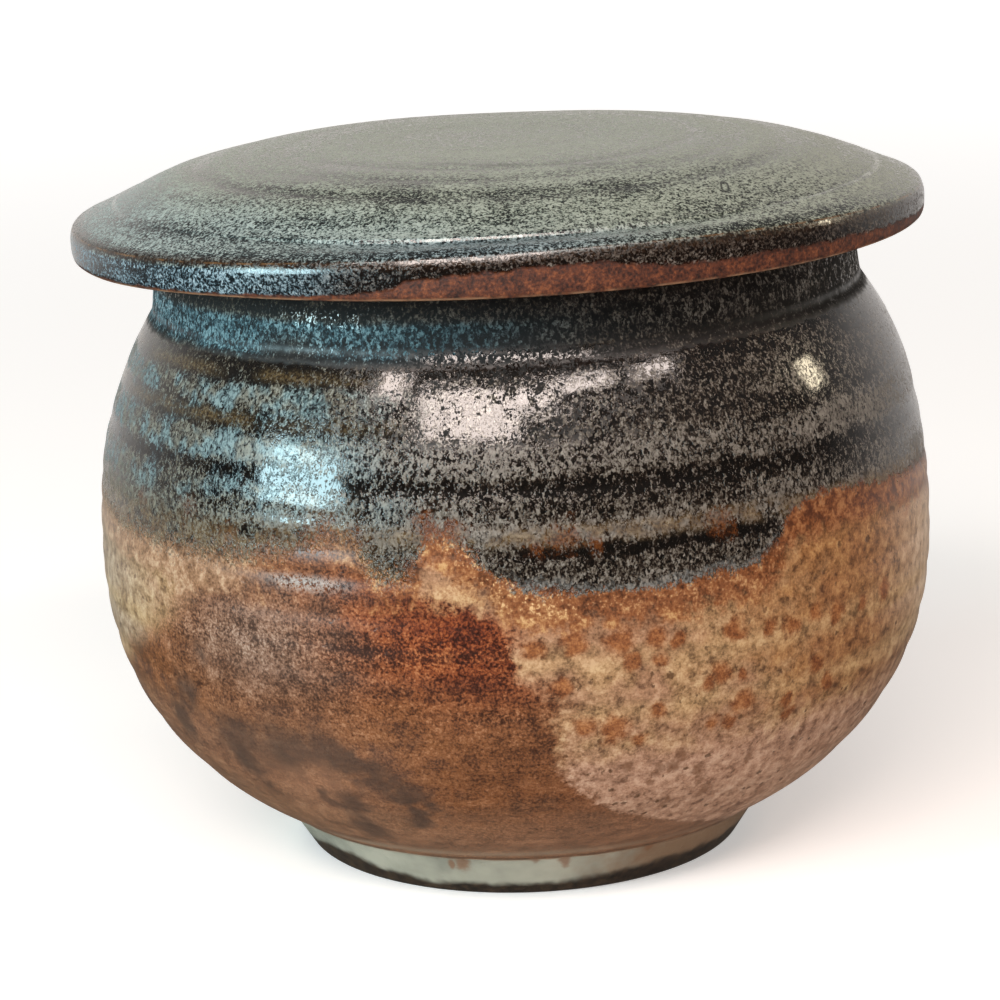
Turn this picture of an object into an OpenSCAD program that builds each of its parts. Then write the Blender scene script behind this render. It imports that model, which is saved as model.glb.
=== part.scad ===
// Wheel-thrown stoneware jam jar with a loose, gently domed lid.
// It is two fired pieces: the jar with its turned foot ring, and the lid with its locating flange.
// The origin is the centre of the foot ring on the table, with +Z up. Lengths are in millimetres.

/* [Jar] */
// Height of the rim above the table, at the jar's axis
jar_h = 78.8; // [76:0.2:83]
// Widest diameter of the belly
belly_d = 105; // [101:0.5:112]
// Height of the belly above the table
belly_z = 40.5; // [38:0.5:43]
// Fullness of the bowl's two halves: 2 is an ellipse, more is squarer
bowl_fullness = 2.3; // [2:0.1:2.6]
// Thickness of the wall at the belly
wall = 5; // [4:0.25:6]
// Thickness of the floor over the foot recess
floor_t = 6; // [4.5:0.25:8]
// Fullness of the inside towards the floor: 2 is an ellipse, more is squarer
inside_fullness = 2.4; // [2:0.1:2.8]

/* [Collar and rim] */
// Height of the collar that carries the lid
collar_h = 8; // [6.5:0.25:9.5]
// Outer diameter at the collar's root
collar_d = 88.5; // [87:0.5:91]
// Outer diameter of the rim
rim_d = 86; // [84:0.5:87]
// Diameter of the mouth
mouth_d = 75; // [72:0.5:77]
// Rounding of the rim's two edges
lip_r = 1; // [0.5:0.1:1.5]
// Lean of the hand-cut rim off level, in degrees
rim_lean = 1.4; // [0:0.2:2.4]

/* [Throwing rings] */
// Spacing of the finger rings on the wall
ring_pitch = 6.2; // [5:0.1:8]
// Depth of the grooves between the finger rings
ring_depth = 0.4; // [0.2:0.05:0.8]

/* [Foot ring] */
// Diameter where the bowl meets the foot ring
foot_joint_d = 63.5; // [60:0.5:67]
// Height of the foot ring
foot_h = 6.2; // [5:0.1:7.5]
// Outer diameter of the foot ring on the table
foot_d = 55.5; // [53:0.5:59]
// Width of the foot ring on the table
foot_w = 5.5; // [4.5:0.25:6.5]
// Depth of the recess inside the foot ring
foot_recess = 3.8; // [2.5:0.1:4.5]
// Slope of the recess wall, as its run over its whole depth
recess_draft = 1; // [0.5:0.1:1.5]
// Rounding of the foot ring's outer edge
foot_edge_r = 1; // [0.5:0.1:1.5]

/* [Lid] */
// How far the lid's edge stays inside the line of the belly, all round
lid_setback = -0.5; // [-2:0.25:4]
// Height of the dome over the lid's seat
lid_h = 10.5; // [9.5:0.25:12]
// Height of the lid's edge, where the dome meets its rounding
lid_edge_h = 3; // [2.8:0.1:4]
// Rounding of the lid's upper edge
lid_edge_r = 1.8; // [1:0.1:1.9]
// Rounding of the lid's lower edge
lid_under_r = 1.2; // [0.6:0.1:1.3]
// Fullness of the dome: 2 is a parabola, more is flatter in the middle
dome_fullness = 4.4; // [3.6:0.1:5]
// Thickness of the dome inside the flange
lid_t = 7; // [5.5:0.25:8]

/* [Lid flange] */
// Depth of the flange below the lid's seat
flange_h = 7; // [5:0.25:9]
// Thickness of the flange
flange_t = 4.5; // [3.5:0.25:6]
// Rounding of the flange's lower edges
flange_edge_r = 1.4; // [0.6:0.1:1.7]
// Play between the flange and the mouth, all round, when centred
flange_gap = 1.4; // [1:0.1:2.4]
// Play left on the low side, where the lid has slid down the lean
flange_rest_gap = 0.3; // [0.1:0.05:0.8]

/* [Hidden] */
$fn = 96;
profile_step = 1;
arc_steps = 6;
lip_steps = 3;
cut_margin = 2;
belly_r = belly_d / 2;
foot_r = foot_d / 2;
foot_joint_r = foot_joint_d / 2;
collar_r = collar_d / 2;
collar_z = jar_h - collar_h;
rim_r = rim_d / 2;
mouth_r = mouth_d / 2;
inside_r = belly_r - wall;
floor_z = foot_recess + floor_t;
lid_r = belly_r - lid_setback;
flange_r = mouth_r - flange_gap;
lid_shift = flange_gap - flange_rest_gap;

// The bowl is one oval below the belly and another above it, each through the end that it has to meet.
function reach(part) = pow(1 - pow(part, bowl_fullness), 1 / bowl_fullness);
function half_height(rise, end_r, widest_r) = rise / reach(end_r / widest_r);
lower_half = half_height(belly_z - foot_h, foot_joint_r, belly_r);
upper_half = half_height(collar_z - belly_z, collar_r, belly_r);
inside_half = half_height(collar_z - belly_z, mouth_r, inside_r);

// Radius at height z of an oval of that widest radius and half height, centred at the belly.
function oval_r(z, widest_r, half) = widest_r * reach(abs(z - belly_z) / half);

// Depth of the finger ring at height z. A crest lies on the belly, and the rings fade at the foot and the collar.
function ring_fade(z) = max(0, min(1, (z - foot_h) / ring_pitch, (collar_z - z) / ring_pitch));
function ring_cut(z) = ring_depth * ring_fade(z) * (1 - cos(360 * (z - belly_z) / ring_pitch)) / 2;

function bowl_r(z) = oval_r(z, belly_r, z < belly_z ? lower_half : upper_half) - ring_cut(z);

// Points of a round from angle a0 to a1, in degrees, about a centre.
function arc(centre, r, a0, a1, steps) =
    [for (i = [0 : steps]) let (a = a0 + (a1 - a0) * i / steps) centre + r * [cos(a), sin(a)]];

// Heights from z0 to z1, evenly spaced at about one profile step.
function heights(z0, z1) =
    let (count = ceil((z1 - z0) / profile_step)) [for (i = [0 : count]) z0 + (z1 - z0) * i / count];

function bowl_outline() = [for (z = heights(foot_h, collar_z)) [bowl_r(z), z]];

// The inside rises from a flat floor to the belly, then closes in to the mouth. It runs on past
// the mouth's edge by cut_margin, so that the mouth itself is cut in the frame of the leaning rim.
inside_top = belly_z + inside_half * reach((mouth_r - cut_margin) / inside_r);
inside_steps = 18;
function inside_outline() = concat(
    [for (i = [0 : inside_steps])
        let (a = 90 * i / inside_steps)
        [inside_r * pow(sin(a), 2 / inside_fullness),
            belly_z - (belly_z - floor_z) * pow(cos(a), 2 / inside_fullness)]],
    [for (i = [1 : inside_steps])
        let (z = belly_z + (inside_top - belly_z) * i / inside_steps)
        [oval_r(z, inside_r, inside_half), z]],
    [[0, inside_top]]
);

// Places its children on the rim, with Z along the way that the lid lifts.
module on_rim() {
    translate([0, 0, jar_h]) rotate([0, -rim_lean, 0]) children();
}

// The outer form of the jar, up past the rim: foot ring, bowl and collar.
module jar_form() {
    collar_rate = (collar_r - rim_r) / collar_h;
    above = rim_r * sin(rim_lean) + cut_margin;
    foot_side = atan2(foot_joint_r - foot_r, foot_h);
    foot_centre = [foot_r - foot_edge_r * tan(45 - foot_side / 2), foot_edge_r];
    rotate_extrude() polygon(concat(
        [[0, 0]],
        arc(foot_centre, foot_edge_r, -90, -foot_side, arc_steps),
        bowl_outline(),
        [[rim_r - collar_rate * above, jar_h + above], [0, jar_h + above]]
    ));
}

// Cuts the rim level with its own leaning plane and rounds its two edges.
module rim_cut() {
    collar_side = atan2(collar_r - rim_r, collar_h);
    outer_centre = [rim_r - lip_r * tan(45 - collar_side / 2), -lip_r];
    inner_centre = [mouth_r + lip_r, -lip_r];
    outer_round = arc(outer_centre, lip_r, 90, collar_side, lip_steps);
    inner_round = arc(inner_centre, lip_r, 180, 90, lip_steps);
    outer_end = outer_round[lip_steps];
    depth = collar_h + cut_margin;
    rotate_extrude() polygon(concat(
        [[0, -depth], [mouth_r, -depth]],
        inner_round,
        outer_round,
        [[outer_end[0] + cut_margin, outer_end[1]],
            [outer_end[0] + cut_margin, depth],
            [0, depth]]
    ));
}

module foot_hollow() {
    recess_r = foot_r - foot_w;
    translate([0, 0, -cut_margin])
        cylinder(h = foot_recess + cut_margin, r1 = recess_r + recess_draft * cut_margin / foot_recess,
            r2 = recess_r - recess_draft);
}

module jar_body() {
    color("#5b4a3b") difference() {
        jar_form();
        rotate_extrude() polygon(inside_outline());
        on_rim() rim_cut();
        foot_hollow();
    }
}

// Height of the dome over the seat, at radius r.
dome_slope = atan2((lid_h - lid_edge_h) * dome_fullness, lid_r);
dome_r = lid_r - lid_edge_r * (1 - sin(dome_slope));
function dome_z(r) = lid_edge_h + (lid_h - lid_edge_h) * (1 - pow(r / dome_r, dome_fullness));

dome_steps = 24;
function dome_outline(r0, r1, drop) =
    [for (i = [0 : dome_steps]) let (t = i / dome_steps, r = r0 * (1 - t) + r1 * t) [r, dome_z(r) - drop]];

function lid_outline() =
    let (
        edge_centre = [lid_r - lid_edge_r, lid_edge_h - lid_edge_r * cos(dome_slope)],
        under_centre = [lid_r - lid_under_r, lid_under_r],
        flange_outer = [flange_r - flange_edge_r, flange_edge_r - flange_h],
        flange_inner = [flange_r - flange_t + flange_edge_r, flange_edge_r - flange_h]
    )
    concat(
        dome_outline(0, dome_r, 0),
        arc(edge_centre, lid_edge_r, 90 - dome_slope - 90 / arc_steps, 0, arc_steps - 1),
        arc(under_centre, lid_under_r, 0, -90, arc_steps),
        [[flange_r, 0]],
        arc(flange_outer, flange_edge_r, 0, -90, arc_steps),
        arc(flange_inner, flange_edge_r, -90, -180, arc_steps),
        dome_outline(flange_r - flange_t, 0, lid_t)
    );

module lid() {
    color("#66736f") on_rim() translate([-lid_shift, 0, 0]) rotate_extrude() polygon(lid_outline());
}

jar_body();
lid();
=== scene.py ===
import math

import bpy
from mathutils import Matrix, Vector


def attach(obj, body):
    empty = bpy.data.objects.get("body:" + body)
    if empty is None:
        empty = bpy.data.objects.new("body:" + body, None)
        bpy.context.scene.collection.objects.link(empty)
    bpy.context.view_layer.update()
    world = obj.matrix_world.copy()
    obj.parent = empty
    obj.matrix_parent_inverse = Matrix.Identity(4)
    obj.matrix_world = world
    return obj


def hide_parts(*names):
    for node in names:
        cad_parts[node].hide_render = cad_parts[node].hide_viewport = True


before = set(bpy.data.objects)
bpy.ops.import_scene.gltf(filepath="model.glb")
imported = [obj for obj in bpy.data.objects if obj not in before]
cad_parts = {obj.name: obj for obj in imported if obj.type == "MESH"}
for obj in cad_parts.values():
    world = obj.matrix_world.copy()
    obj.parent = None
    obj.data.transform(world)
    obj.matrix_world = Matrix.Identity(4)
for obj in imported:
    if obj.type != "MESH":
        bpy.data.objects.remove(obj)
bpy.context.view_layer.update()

# The jar: dark stoneware thrown on the wheel in one piece, with finger rings left on the wall.
# A collar carries the lid, and the foot ring was turned from the same clay when it had stiffened.
# The rim leans, because it was trued with a cutting wire that ran a little out of level.
mm = 0.001
foot_recess = 3.8
foot_r = 27.75
foot_edge_r = 1.0
foot_joint_r = 31.75
foot_h = 6.2
belly_r = 52.5
belly_z = 40.5
bowl_fullness = 2.3
collar_r = 44.25
collar_z = 70.8
mouth_r = 37.5
jar_h = 78.8
lip_r = 1.0
wall = 5.0
floor_z = 9.8
rim_lean = 1.4
collar_shift = 0.5
inside_fullness = 2.4
inside_top = 70.6
inside_ring_depth = 0.22
inside_ring_pitch = 7.4
spin_steps = 240

# Each finger groove: its height on the wall, its depth and how wide it is, in millimetres.
finger_grooves = (
    (56.7, 0.13, 1.1),
    (53.0, 0.05, 0.9),
    (49.7, 0.12, 1.0),
    (46.3, 0.14, 0.9),
    (42.0, 0.12, 1.2),
    (38.6, 0.06, 1.0),
    (35.2, 0.14, 1.1),
    (30.1, 0.16, 1.0),
    (25.4, 0.14, 1.2),
    (20.2, 0.12, 1.2),
    (14.6, 0.12, 1.4),
)


def finger_cut(height):
    return sum(deep * math.exp(-(((height - at) / wide) ** 2)) for at, deep, wide in finger_grooves)


def share_left(share):
    """The other side of an oval of the bowl's fullness, where one side is at that share of its length."""
    return (1 - share**bowl_fullness) ** (1 / bowl_fullness)


def half_height(rise, end_r, widest_r):
    return rise / share_left(end_r / widest_r)


def rounded(centre_r, centre_z, radius, start, end, steps):
    turns = [math.radians(start + (end - start) * i / steps) for i in range(steps + 1)]
    return [(centre_r + radius * math.cos(a), centre_z + radius * math.sin(a)) for a in turns]


def draw_outline(name, outline):
    """Draws an outline of (radius, height) in millimetres: a vertex extruded from point to point."""
    bpy.ops.object.select_all(action="DESELECT")
    bpy.ops.mesh.primitive_plane_add(size=outline[1][0] * mm)
    piece = bpy.context.object
    piece.name = piece.data.name = name
    bpy.ops.object.mode_set(mode="EDIT")
    bpy.ops.mesh.select_all(action="SELECT")
    bpy.ops.mesh.merge(type="CENTER")
    bpy.ops.transform.translate(value=(outline[0][0] * mm, 0, outline[0][1] * mm))
    for (r0, z0), (r1, z1) in zip(outline, outline[1:]):
        step = ((r1 - r0) * mm, 0, (z1 - z0) * mm)
        bpy.ops.mesh.extrude_vertices_move(TRANSFORM_OT_translate={"value": step})
    bpy.ops.object.mode_set(mode="OBJECT")
    return piece


def mark_outline(piece, outline, sides):
    """Keeps each point's height on the true outline, and the side that it is on, for the glaze."""
    heights = piece.data.attributes.new("wall_height", "FLOAT", "POINT")
    faces = piece.data.attributes.new("wall_side", "FLOAT", "POINT")
    for i, vertex in enumerate(piece.data.vertices):
        spot = (vertex.co.x / mm, vertex.co.z / mm)
        near = min(range(len(outline)), key=lambda k: math.dist(outline[k], spot))
        heights.data[i].value = outline[near][1]
        faces.data[i].value = sides[near]


def throw(piece, steps):
    """Turns a drawn outline once round the wheel's axis and closes it at the axis."""
    bpy.ops.object.mode_set(mode="EDIT")
    bpy.ops.mesh.select_all(action="SELECT")
    bpy.ops.mesh.spin(steps=steps, angle=2 * math.pi, center=(0, 0, 0), axis=(0, 0, 1))
    bpy.ops.mesh.select_all(action="SELECT")
    bpy.ops.mesh.remove_doubles(threshold=1e-6)
    bpy.ops.mesh.normals_make_consistent(inside=False)
    bpy.ops.object.mode_set(mode="OBJECT")
    bpy.ops.object.shade_smooth()


def select_where(piece, test):
    """Selects the vertices whose place passes the test, and the edges and faces between them."""
    mesh = piece.data
    for vertex in mesh.vertices:
        vertex.select = test(vertex.co / mm)
    for edge in mesh.edges:
        edge.select = all(mesh.vertices[i].select for i in edge.vertices)
    for face in mesh.polygons:
        face.select = all(mesh.vertices[i].select for i in face.vertices)


def uneven(piece, amount, size, part):
    """Makes a thrown wall a little uneven, as hands leave it, where the test for that part passes."""
    cloud = bpy.data.textures.new(piece.name + "_hand", "CLOUDS")
    cloud.noise_scale = size * mm
    cloud.noise_depth = 1
    group = piece.vertex_groups.new(name="hand")
    select_where(piece, part)
    bpy.ops.object.mode_set(mode="EDIT")
    bpy.context.scene.tool_settings.vertex_group_weight = 1.0
    bpy.ops.object.vertex_group_assign()
    bpy.ops.object.vertex_group_smooth(factor=0.5, repeat=12, expand=-1.0)
    bpy.ops.object.mode_set(mode="OBJECT")
    hand = piece.modifiers.new("hand", "DISPLACE")
    hand.texture = cloud
    hand.texture_coords = "LOCAL"
    hand.vertex_group = group.name
    hand.strength = amount * mm
    hand.mid_level = 0.5
    bpy.ops.object.modifier_apply(modifier=hand.name)
    piece.vertex_groups.clear()


def eased(value, low, high):
    """0 at low and 1 at high, with a smooth step between them."""
    share = min(1, max(0, (value - low) / (high - low)))
    return share * share * (3 - 2 * share)


def warp(piece, amount, share):
    """Lifts a piece's points by that many millimetres, each by its own share, as drying clay warps."""
    group = piece.vertex_groups.new(name="warp")
    for vertex in piece.data.vertices:
        group.add([vertex.index], share(vertex.co / mm), "REPLACE")
    lift = piece.modifiers.new("warp", "DISPLACE")
    lift.direction = "Z"
    lift.mid_level = 0.0
    lift.vertex_group = group.name
    lift.strength = amount * mm
    bpy.ops.object.modifier_apply(modifier=lift.name)
    piece.vertex_groups.clear()


lower_half = half_height(belly_z - foot_h, foot_joint_r, belly_r)
upper_half = half_height(collar_z - belly_z, collar_r, belly_r)
foot_side = math.degrees(math.atan2(foot_joint_r - foot_r, foot_h))
foot_centre_r = foot_r - foot_edge_r * math.tan(math.radians(45 - foot_side / 2))


def bowl_r(height):
    half = lower_half if height < belly_z else upper_half
    return belly_r * share_left(abs(height - belly_z) / half)


def bowl_points(start, end, steps):
    """Points on the wall's two ovals, between two heights, set in by the finger grooves."""
    found = []
    for i in range(steps + 1):
        z = start + (end - start) * i / steps
        out = Vector((1, (bowl_r(z - 0.01) - bowl_r(z + 0.01)) / 0.02)).normalized()
        found.append((bowl_r(z) - finger_cut(z) * out.x, z - finger_cut(z) * out.y))
    return found


def inside_ring(height):
    """The faint rings that the fingers left inside."""
    return inside_ring_depth * math.cos(2 * math.pi * height / inside_ring_pitch)


under = [(0, foot_recess), (6, foot_recess), (12, foot_recess), (17, foot_recess), (20.1, foot_recess)]
under += rounded(20.1, foot_recess - 1.2, 1.2, 80, 10, 5)
under += [(21.6, 1.5), (21.95, 0.6)]
under += rounded(22.5, 0.45, 0.45, 190, 270, 4)
under += [(23.6, 0), (24.8, 0), (26.0, 0)]
outside = rounded(foot_centre_r, foot_edge_r, foot_edge_r, -90, -foot_side, 6)
foot_top = (31.15, 5.4)
foot_start = outside[-1]
for i in range(1, 11):
    share = i / 10
    foot_point_r = foot_start[0] + (foot_top[0] - foot_start[0]) * share
    foot_point_z = foot_start[1] + (foot_top[1] - foot_start[1]) * share
    outside.append((foot_point_r, foot_point_z))
outside += [(31.38, 5.62), (31.62, 5.78), (31.95, 5.95), (32.25, 6.2), (32.55, 6.5), (32.95, 6.8)]
outside += bowl_points(7.15, 69.9, 170)
outside += [(44.64, 70.25), (44.48, 70.55), (44.37, 70.82), (44.29, 71.1), (44.22, 71.5), (44.13, 72.2)]
outside += [(44.05, 73.0), (43.95, 73.8), (43.8, 74.6), (43.6, 75.4), (43.34, 76.2), (43.0, 77.0)]
outside += [(42.6, 77.6), (42.1, 78.1), (41.5, 78.5), (40.8, 78.73), (40.2, jar_h)]
inside = [(39.3, jar_h)] + rounded(mouth_r + lip_r, jar_h - lip_r, lip_r, 90, 180, 6)
inside += [(mouth_r, jar_h - 2), (mouth_r, jar_h - 3.4), (mouth_r, jar_h - 5), (mouth_r + 0.1, jar_h - 6.4)]
inside_r = belly_r - wall
inside_half = half_height(collar_z - belly_z, mouth_r, inside_r)
for i in range(34):
    z = inside_top + (belly_z - inside_top) * i / 34
    inside.append((inside_r * share_left((z - belly_z) / inside_half) - inside_ring(z), z))
for i in range(46):
    a = math.radians(90 * (1 - i / 46))
    z = belly_z - (belly_z - floor_z) * math.cos(a) ** (2 / inside_fullness)
    inside.append((inside_r * math.sin(a) ** (2 / inside_fullness) - inside_ring(z), z))
inside += [(3.6, floor_z + 0.05), (1.8, floor_z + 0.4), (0, floor_z + 0.55)]

outline = under + outside + inside
sides = [-1.0] * len(under) + [0.0] * len(outside) + [1.0] * len(inside)
jar = draw_outline("jar", outline)
mark_outline(jar, outline, sides)
throw(jar, spin_steps)

select_where(jar, lambda at: at.z > collar_z - 0.5)
bpy.ops.object.mode_set(mode="EDIT")
bpy.ops.transform.rotate(
    value=math.radians(rim_lean),
    orient_axis="Y",
    center_override=(0, 0, jar_h * mm),
    use_proportional_edit=True,
    proportional_edit_falloff="SMOOTH",
    proportional_size=22 * mm,
)
bpy.ops.transform.translate(
    value=(-collar_shift * mm, 0, 0),
    use_proportional_edit=True,
    proportional_edit_falloff="SMOOTH",
    proportional_size=12 * mm,
)
bpy.ops.object.mode_set(mode="OBJECT")
uneven(jar, 0.45, 34, lambda at: 9 < at.z < 67)


class Field:
    """A value or colour over a surface: one output socket, with arithmetic that adds Math nodes behind it."""

    def __init__(self, tree, socket=None):
        self.tree = tree
        self.socket = socket

    def node(self, kind, settings, inputs, output=0):
        """Adds any other node: its settings, a ramp's stops or a curve's points, then its values or links."""
        made = self.tree.nodes.new(kind)
        for key, value in settings.items():
            if key == "stops":
                ramp = made.color_ramp
                while len(ramp.elements) < len(value):
                    ramp.elements.new(1.0)
                for stop, (at, colour) in zip(ramp.elements, value):
                    stop.position = at
                    stop.color = colour
            elif key == "points":
                line = made.mapping.curves[0]
                while len(line.points) < len(value):
                    line.points.new(0.5, 0.5)
                for point, spot in zip(line.points, value):
                    point.location = spot
                made.mapping.update()
            else:
                setattr(made, key, value)
        for key, value in inputs.items():
            if isinstance(value, Field):
                self.tree.links.new(value.socket, made.inputs[key])
            else:
                made.inputs[key].default_value = value
        return Field(self.tree, made.outputs[output] if made.outputs else None)

    def maths(self, operation, first, second=0.0):
        return self.node("ShaderNodeMath", {"operation": operation}, {0: first, 1: second})

    def __add__(self, other):
        return self.maths("ADD", self, other)

    __radd__ = __add__

    def __sub__(self, other):
        return self.maths("SUBTRACT", self, other)

    def __rsub__(self, other):
        return self.maths("SUBTRACT", other, self)

    def __mul__(self, other):
        return self.maths("MULTIPLY", self, other)

    __rmul__ = __mul__

    def __truediv__(self, other):
        return self.maths("DIVIDE", self, other)

    def __rtruediv__(self, other):
        return self.maths("DIVIDE", other, self)

    def __neg__(self):
        return self.maths("MULTIPLY", self, -1.0)

    def __abs__(self):
        return self.maths("ABSOLUTE", self)


def tint(code):
    """A glaze colour from its hex code, as Blender's linear red, green, blue and alpha."""
    parts = [int(code[i : i + 2], 16) / 255 for i in (0, 2, 4)]
    return tuple(c / 12.92 if c <= 0.04045 else ((c + 0.055) / 1.055) ** 2.4 for c in parts) + (1.0,)


def rise(value, low, high):
    """0 at low and 1 at high, with a smooth step between them."""
    kind = {"interpolation_type": "SMOOTHSTEP"}
    return value.node("ShaderNodeMapRange", kind, {0: value, 1: low, 2: high, 3: 0.0, 4: 1.0})


def hump(value, at, wide):
    """1 at a place, falling smoothly to 0 at that distance to either side."""
    return rise(abs(value - at), wide, 0.0)


def over(base, layer, mask):
    """One colour laid over another, as far as the mask says."""
    kind = {"data_type": "RGBA", "blend_type": "MIX", "clamp_factor": True}
    found = next(part for part in (mask, base, layer) if isinstance(part, Field))
    return found.node("ShaderNodeMix", kind, {0: mask, 6: base, 7: layer}, 2)


def grain(at, size, detail, rough=0.55):
    """Soft noise about 0.5, with grains of that size."""
    values = {"Vector": at, "Scale": 1 / size, "Detail": detail, "Roughness": rough}
    return at.node("ShaderNodeTexNoise", {}, values)


def curve(value, low, high, bottom, top, points):
    """A smooth line through (value, result) points, inside the given limits of both."""
    share = (value - low) / (high - low)
    placed = [((a - low) / (high - low), (b - bottom) / (top - bottom)) for a, b in points]
    line = value.node("ShaderNodeFloatCurve", {"points": placed}, {"Value": share})
    return line * (top - bottom) + bottom


def shades(value, *stops):
    """A glaze colour for each value: stops of (value, hex code)."""
    placed = [(at, tint(code)) for at, code in stops]
    return value.node("ShaderNodeValToRGB", {"stops": placed}, {0: value})


def distance(place, spot):
    """How far each place on a surface is from one spot."""
    return place.node("ShaderNodeVectorMath", {"operation": "DISTANCE"}, {0: place, 1: spot}, 1)


def marks(flat, places):
    """How near the nearest of some marks is, in shares of its own reach: places of (across, up, reach)."""
    nearest = None
    for across, up, reach in places:
        away = distance(flat, (across, up, 0)) / reach
        nearest = away if nearest is None else nearest.maths("MINIMUM", nearest, away)
    return nearest


# The jar's glaze: an iron glaze poured over the upper half, which broke to brown in the grooves and grew
# slate-grey crystals, over a straw glaze that the fire turned rust-red on one side and spotted on the other.
# The rim and the foot ring were wiped bare for the kiln, and the foot has a thin grey-green glaze.
jar_glaze = bpy.data.materials.new("jar_glaze")
jar_glaze.use_nodes = True
shop = jar_glaze.node_tree
shop.nodes.clear()
start = Field(shop)
place = start.node("ShaderNodeTexCoord", {}, {}, "Object")
at = place.node("ShaderNodeVectorMath", {"operation": "SCALE"}, {0: place, "Scale": 1000.0})
x = at.node("ShaderNodeSeparateXYZ", {}, {0: at}, "X")
y = at.node("ShaderNodeSeparateXYZ", {}, {0: at}, "Y")
height = start.node("ShaderNodeAttribute", {"attribute_name": "wall_height"}, {}, "Fac")
side = start.node("ShaderNodeAttribute", {"attribute_name": "wall_side"}, {}, "Fac")
turn = x.maths("ARCTAN2", x, -y) * math.degrees(1)
round_wall = at.node("ShaderNodeCombineXYZ", {}, {0: x, 1: y, 2: 0.0})
outward = at.node("ShaderNodeVectorMath", {"operation": "NORMALIZE"}, {0: round_wall})


def facing(bearing):
    """1 where the wall looks to that bearing, in degrees from the front, and -1 on the other side."""
    a = math.radians(bearing)
    way = (math.sin(a), -math.cos(a), 0)
    return outward.node("ShaderNodeVectorMath", {"operation": "DOT_PRODUCT"}, {0: outward, 1: way}, 1)


def curdled(space, scale):
    """Soft curdled noise about 0.5, as crystals grow in a glaze."""
    look = {"Vector": space, "Scale": scale, "Detail": 2.0, "Roughness": 0.55, "Distortion": 0.25}
    return space.node("ShaderNodeTexNoise", {}, look)


def flakes(at, space, size):
    """Bent flakes of that size, in millimetres, each with a value of its own."""
    crumpled = at.node("ShaderNodeTexNoise", {}, {"Vector": at, "Scale": 3.1, "Detail": 1.0}, "Color")
    bending = {0: crumpled, 1: (0.55, 0.55, 0.55), 2: space}
    bent = at.node("ShaderNodeVectorMath", {"operation": "MULTIPLY_ADD"}, bending)
    return at.node("ShaderNodeTexVoronoi", {}, {"Vector": bent, "Scale": 1 / size}, "Color")


# Grains of several sizes, in millimetres, which break up every colour and edge of the glazes.
grit = grain(at, 0.24, 1.0, 0.5)
fine = grain(at, 0.36, 2.0, 0.6)
coarse = grain(at, 1.25, 1.0, 0.5)
blob = grain(at, 3.2, 2.0, 0.6)
cloud = grain(at, 8.0, 2.0, 0.5)
drift = grain(at, 26.0, 1.0, 0.5)
ring_space = at.node("ShaderNodeCombineXYZ", {}, {0: x / 24, 1: y / 24, 2: height / 2.0})
ripple = grain(ring_space, 1.0, 1.0, 0.5)
thread_space = at.node("ShaderNodeCombineXYZ", {}, {0: x / 16, 1: y / 16, 2: height / 0.7})
thread = grain(thread_space, 1.0, 2.0, 0.5)
streak_space = at.node("ShaderNodeVectorMath", {"operation": "MULTIPLY"}, {0: at, 1: (1.0, 1.0, 0.65)})
worm = curdled(streak_space, 4.2)
flake = flakes(at, streak_space, 0.36)
rag = (worm - 0.5) * 2.6 + (coarse - 0.5) * 2.4 + (blob - 0.5) * 3.4

# Lower edge of the iron glaze round the jar: (degrees from the front, height in millimetres).
pour_line = (
    (-180, 47.0),
    (-160, 49.5),
    (-142, 51.5),
    (-126, 49.0),
    (-112, 46.0),
    (-96, 47.5),
    (-80, 48.2),
    (-66, 47.2),
    (-52, 47.0),
    (-42, 47.2),
    (-34, 48.2),
    (-28, 49.6),
    (-23, 51.2),
    (-20, 49.4),
    (-16, 46.9),
    (-13.5, 47.4),
    (-12, 50.0),
    (-10.4, 52.6),
    (-8, 51.2),
    (-4.5, 48.6),
    (-1, 46.2),
    (4, 45.0),
    (12, 44.7),
    (21, 44.9),
    (30, 45.6),
    (34, 46.4),
    (36, 49.2),
    (39, 51.2),
    (44, 52.0),
    (54, 51.2),
    (66, 50.4),
    (78, 49.6),
    (92, 47.4),
    (106, 45.2),
    (122, 46.6),
    (138, 50.2),
    (152, 51.0),
    (166, 48.2),
    (180, 47.0),
)
pour = curve(turn, -180, 180, 30, 60, pour_line)
depth = height - pour + rag
loose = rise(turn, 1, -12) * rise(turn, -112, -86)
iron = rise(depth + (worm - 0.5) * loose * 5, loose * -0.9 - 0.45, loose * 0.9 + 0.45)

# The two edges of the rust flush that the fire drew on the left: (height, degrees from the front).
rust_right = (
    (0, 62),
    (8, 46),
    (10, 34),
    (12, 26),
    (14, 19),
    (16, 14),
    (18, 11),
    (20, 8.4),
    (23, 6),
    (28, 5.6),
    (31, 6),
    (33, 4),
    (35.4, 0.6),
    (38, -0.4),
    (41, 0),
    (43, -5),
    (45, -12),
    (48, -20),
    (60, -20),
    (80, -20),
)
rust_left = (
    (0, -130),
    (12, -110),
    (20, -92),
    (27, -74),
    (31, -67),
    (34, -60),
    (38, -53),
    (42, -47),
    (45, -38),
    (80, -32),
)
flush_right = curve(height, 0, 80, -180, 180, rust_right)
flush_left = curve(height, 0, 80, -180, 180, rust_left)
bearing = turn + (fine - 0.5) * 2.5 + (coarse - 0.5) * 4 + (blob - 0.5) * 7
soft = 3.4 - hump(height, 37.6, 3.2) * 2.6 - rise(height, 25, 22) * 1.8
flush = rise(bearing, flush_left - 5.0, flush_left + 5.0)
flush = flush * rise(bearing, flush_right + soft, flush_right - soft)
back_flush = rise(facing(152) + (22 - height) / 50 + (cloud - 0.5) * 0.5 + (coarse - 0.5) * 0.2, 0.72, 0.8)
rust = flush.maths("MAXIMUM", flush, back_flush)

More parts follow.
